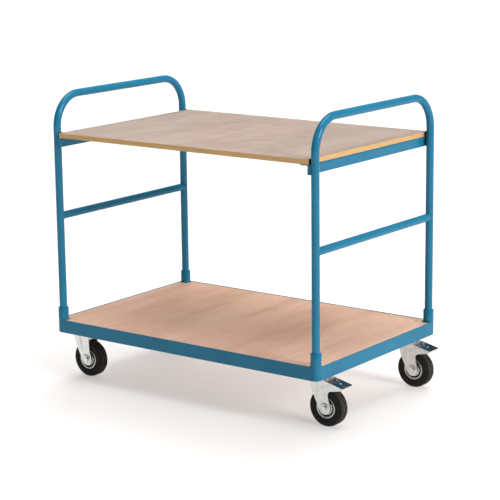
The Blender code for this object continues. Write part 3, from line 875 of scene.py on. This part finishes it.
kp0, kp1 = (corner.z for corner in mm_box("front_right_kingpin"))
kingpin_profile = [(0, kp0), (6.2, kp0), (8.6, kp0 + 1.0), (10.4, kp0 + 3.2), (11, kp0 + 5), (11, kp0 + 7.8),
                   (6, kp0 + 8), (6, kp1 - 3.8), (8.8, kp1 - 3.7), (9, kp1 - 2.4), (7, kp1 - 0.8), (4, kp1),
                   (0, kp1)]
bush_profile = [(5.3, -20.2), (7.6, -20.2), (8.0, -19.8), (8.0, 19.8), (7.6, 20.2), (5.3, 20.2)]

MESHES = {
    "fork": place(fork_mesh(False), "front_left_fork_pressing", [ZINC], smooth=35),
    "braked_fork": place(fork_mesh(True), "front_right_fork_pressing", [ZINC], smooth=35),
    "rim": to_object(turned_bm(rim_profile(), "Y", 96), "front_left_wheel_centre", [RIM_STEEL, GROOVE_PAINTED_SHADE],
                     smooth=50),
    "tyre": to_object(turned_bm(tyre_profile(), "Y", 120), "front_left_tyre_ring", [TYRE, TREAD_DUST_AND_PAINTED_LIGHT], smooth=35),
    "bearing": to_object(turned_bm(bush_profile, "Y", 48), "front_left_bearing_bush", [PLASTIC], smooth=30),
    "plate": place(top_plate_mesh(), "front_left_castor_plate", [ZINC], smooth=35),
    "kingpin": to_object(turned_bm(kingpin_profile, "Z", 40), "front_left_kingpin_rivet", [BRIGHT],
                         smooth=35),
    "pedal": place(pedal_mesh(), "front_right_pedal_tread", [PEDAL, BRIGHT], smooth=35),
}
# the rim's groove faces take a near-black material as painted shade; the tyre's tread takes a lighter, dustier
# rubber, partly dust and partly painted light; the pedal's sides and undersides take the bright plating as a
# painted highlight along its folded edges
for face in MESHES["rim"].data.polygons:
    spot = face.center / MM
    if 23.3 < math.hypot(spot.x, spot.z) < 28.6 and abs(spot.y) < 15.0:
        face.material_index = 1
for face in MESHES["tyre"].data.polygons:
    spot = face.center / MM
    if math.hypot(spot.x, spot.z) > 61.3:
        face.material_index = 1
# faces that don't face up take the bright plating, a painted highlight along the pedal's folded edges; the
# upward faces keep the dark plating
for face in MESHES["pedal"].data.polygons:
    if face.normal.z < 0.8 and not (abs(face.normal.y) < 0.4 and face.normal.z > 0.3):
        face.material_index = 1
bevel(MESHES["plate"], 0.6, 2)
bevel(MESHES["fork"], 0.5, 2, 50)
bevel(MESHES["braked_fork"], 0.5, 2, 50)
bevel(MESHES["pedal"], 0.4, 2, 50)


def axle_parts():
    """Hexagon screw through the fork, with its washer on the -Y side."""
    out = WASHER_Y
    washer = turned_bm([(5.2, -out - 1.6), (11.5, -out - 1.6), (11.9, -out - 1.2), (11.9, -out - 0.1),
                        (5.2, -out - 0.1)], "Y", 48)
    head = hex_head(8.8, -out - 1.7, -30.6, "Y", 0.25)
    dome = turned_bm([(0, -out - 1.7), (7.2, -out - 1.7), (7.2, -30.4), (5.8, -30.75), (0, -30.8)], "Y", 40)
    shank = turned_bm([(0, -out), (5, -out), (5, 34.2), (4.2, 35.2), (0, 35.2)], "Y", 32)
    return merged([washer, head, dome, shank])


def nut_parts():
    """Lock nut on the screw's +Y end, with its washer and collar."""
    out = WASHER_Y
    washer = turned_bm([(5.3, out + 0.1), (11.9, out + 0.1), (11.9, out + 1.2), (11.5, out + 1.6),
                        (5.3, out + 1.6)], "Y", 48)
    block = hex_head(9.6, out + 1.7, out + 7.0, "Y", 0.1)
    mesh = combine(mesh_of(block), [drill(5.3, 32, low=10, high=60)], "DIFFERENCE")
    collar = turned_bm([(5.3, out + 6.8), (7.6, out + 6.8), (7.2, out + 8.4), (5.6, out + 8.9),
                        (5.3, out + 8.9)], "Y", 40)
    nut = bmesh.new()
    nut.from_mesh(mesh)
    return merged([washer, nut, collar])


def pin_parts():
    """The pedal's pivot pin with its two riveted ends."""
    pin = turned_bm([(0, -26), (2.4, -26), (3, -25.4), (3, 25.4), (2.4, 26), (0, 26)], "Y", 28)
    head = [(2.9, 24.3), (5.2, 24.3), (5.0, 25.4), (3.4, 26.0), (2.9, 26.0)]
    heads = [turned_bm([(r, side * y) for r, y in head], "Y", 28) for side in (-1, 1)]
    return merged([pin] + heads)


bolt_obj = to_object(axle_parts(), "front_left_axle_screw", [BRIGHT], smooth=35)
nut_obj = to_object(nut_parts(), "front_left_axle_lock_nut", [BRIGHT], smooth=35)
pins_obj = to_object(pin_parts(), "front_right_pedal_rivet", [BRIGHT], smooth=35)
plate_bolts = to_object(bolt_set(), "front_left_plate_bolts", [BRIGHT], smooth=35)


def put(source, name, at, body, slot, *cad):
    """Use the source object itself for its own name, and a copy of it elsewhere."""
    obj = source if source.name == name else copy_of(source, name, at)
    obj.location = at
    return stand_for(obj, body, slot, *cad)


for label, sx, sy in CORNERS:
    head = Vector(JOINTS[label + "_swivel_turn"]["pos_m"])
    head.z = 0
    axle = Vector(JOINTS[label + "_wheel_spin"]["pos_m"])
    swivel, wheel = label + "_swivel", label + "_wheel"
    fork = MESHES["braked_fork"] if sx > 0 else MESHES["fork"]
    put(fork, label + "_fork_pressing", head, swivel, "zinc_plate", label + "_fork")
    put(MESHES["plate"], label + "_castor_plate", head, "frame", "zinc_plate", label + "_top_plate")
    put(MESHES["kingpin"], label + "_kingpin_rivet", head, "frame", "bolt_steel", label + "_kingpin")
    put(plate_bolts, label + "_plate_bolts", head, "frame", "bolt_steel")
    put(MESHES["rim"], label + "_wheel_centre", axle, wheel, "zinc_plate", label + "_rim")
    put(MESHES["tyre"], label + "_tyre_ring", axle, wheel, "tyre_rubber", label + "_tyre")
    put(MESHES["bearing"], label + "_bearing_bush", axle, wheel, "bearing_plastic", label + "_wheel_bearing")
    put(bolt_obj, label + "_axle_screw", axle, swivel, "bolt_steel", label + "_axle_bolt")
    put(nut_obj, label + "_axle_lock_nut", axle, swivel, "bolt_steel", label + "_axle_nut")
    if sx > 0:
        pin, pedal = Vector(JOINTS[label + "_pedal_lift"]["pos_m"]), label + "_pedal"
        put(MESHES["pedal"], label + "_pedal_tread", pin, pedal, "pedal_steel", label + "_brake_pedal")
        put(pins_obj, label + "_pedal_rivet", pin, swivel, "bolt_steel", label + "_pedal_pin")

    # corner mounting plate, drilled for the castor's bolts
    low, high = mm_box(label + "_corner_plate")
    x0, x1 = sorted((sx * (low.x - MID_X), sx * (high.x - MID_X)))
    y0, y1 = sorted((sy * low.y, sy * high.y))
    cut = POST_X + POST_Y - (SOCKET_R + 0.5) * math.sqrt(2)
    shape = [(x0, y0), (x1, y0), (x1, cut - x1), (cut - y1, y1), (x0, y1)]
    cx, cy = sx * (head.x / MM - MID_X), sy * head.y / MM
    holes = [circle(cx, cy, 12, 32)] + [circle(cx + x, cy + y, BOLT_HOLE_R, 20) for x, y in CASTOR_BOLTS]
    holes = [[(MID_X + sx * u, sy * v) for u, v in ring] for ring in holes]
    shape = [(MID_X + sx * u, sy * v) for u, v in rounded(shape, [4, 2, 3, 3, 2])]
    gusset = to_object(prism_bm(shape, low.z, high.z, "Z", holes), label + "_mounting_plate", [BLUE],
                       smooth=30)
    bevel(gusset, 0.5, 2)
    stand_for(gusset, "frame", "blue_paint", label + "_corner_plate")

# ---------------------------------------------------------------- floor, lights, camera

FLOOR_REACH = 60.0  # metres
WALL_R = 58.0
scene = bpy.context.scene


def studio_object(bm, name):
    obj = bpy.data.objects.new(name, mesh_of(bm, name))
    scene.collection.objects.link(obj)
    return obj


floor_bm = bmesh.new()
bmesh.ops.create_grid(floor_bm, x_segments=2, y_segments=2, size=FLOOR_REACH)
floor = studio_object(floor_bm, "studio_floor")
paper = Shader("lit_white_floor", (0.42, 0.41, 0.402), 0.0, 0.8, Emission_Strength=0.44)
paper.bsdf.inputs["Emission Color"].default_value = (1.0, 0.992, 0.985, 1)
paper.colour(paper.ramp(paper.noise(3, 3), [(0.3, (0.415, 0.405, 0.397)), (0.7, (0.425, 0.415, 0.407))]))
floor.data.materials.append(paper.mat)

# a white wall round the floor, which only the camera sees: it lights and shades nothing
wall_bm = bmesh.new()
bmesh.ops.create_cone(wall_bm, cap_ends=True, segments=96, radius1=WALL_R, radius2=WALL_R,
                      depth=2 * FLOOR_REACH)
wall = studio_object(wall_bm, "studio_wall")
white = Shader("lit_white_wall", (0.0, 0.0, 0.0), 0.0, 1.0, Emission_Strength=1.0)
white.bsdf.inputs["Emission Color"].default_value = (1.0, 1.0, 1.0, 1)
wall.data.materials.append(white.mat)
wall.visible_diffuse = wall.visible_glossy = wall.visible_shadow = False
wall.visible_transmission = False

scene.view_settings.view_transform = "Standard"
scene.view_settings.look = "None"
world = bpy.data.worlds.new("studio")
scene.world = world
world.use_nodes = True
sky = world.node_tree.nodes["Background"]
sky.inputs["Color"].default_value = (1.0, 1.0, 1.0, 1)
sky.inputs["Strength"].default_value = 0.09


def sun(name, towards, strength, spread, colour=(1, 1, 1), glossy=True):
    """A soft studio light from one side; towards points from the object to the light."""
    lamp = bpy.data.lights.new(name, "SUN")
    lamp.energy = strength
    lamp.angle = math.radians(spread)
    lamp.color = colour
    obj = bpy.data.objects.new(name, lamp)
    scene.collection.objects.link(obj)
    obj.rotation_euler = Vector(towards).to_track_quat("Z", "Y").to_euler()
    obj.visible_glossy = glossy
    return obj


sun("key_right", (1.0, -0.05, 0.45), 2.55, 22, (1.0, 0.99, 0.97))
sun("overhead", (0.0, 0.1, 1.0), 2.6, 50)
sun("left_fill", (-1.0, 0.6, 0.5), 0.6, 50, glossy=False)
sun("back_fill", (-0.25, 1.0, 0.40), 3.0, 50, glossy=False)

# the camera stands DISTANCE from TARGET, YAW to the right of the front and PITCH above the level
SENSOR_MM = 36.0
FOCAL_MM = 126.617
YAW, PITCH, ROLL = 0.643, 0.214, -0.012
TARGET = Vector((0.0, 0.0, 0.4605))
DISTANCE = 5.976
ahead = Vector((-math.sin(YAW) * math.cos(PITCH), math.cos(YAW) * math.cos(PITCH), -math.sin(PITCH)))
right = Vector((math.cos(YAW), math.sin(YAW), 0.0))
up = right.cross(ahead)
right, up = right * math.cos(ROLL) + up * math.sin(ROLL), up * math.cos(ROLL) - right * math.sin(ROLL)
lens = bpy.data.cameras.new("camera")
lens.sensor_width = SENSOR_MM
lens.lens = FOCAL_MM
lens.clip_end = 200.0
camera = bpy.data.objects.new("camera", lens)
scene.collection.objects.link(camera)
camera.matrix_world = Matrix((right, up, -ahead)).transposed().to_4x4()
camera.location = TARGET - ahead * DISTANCE
scene.camera = camera
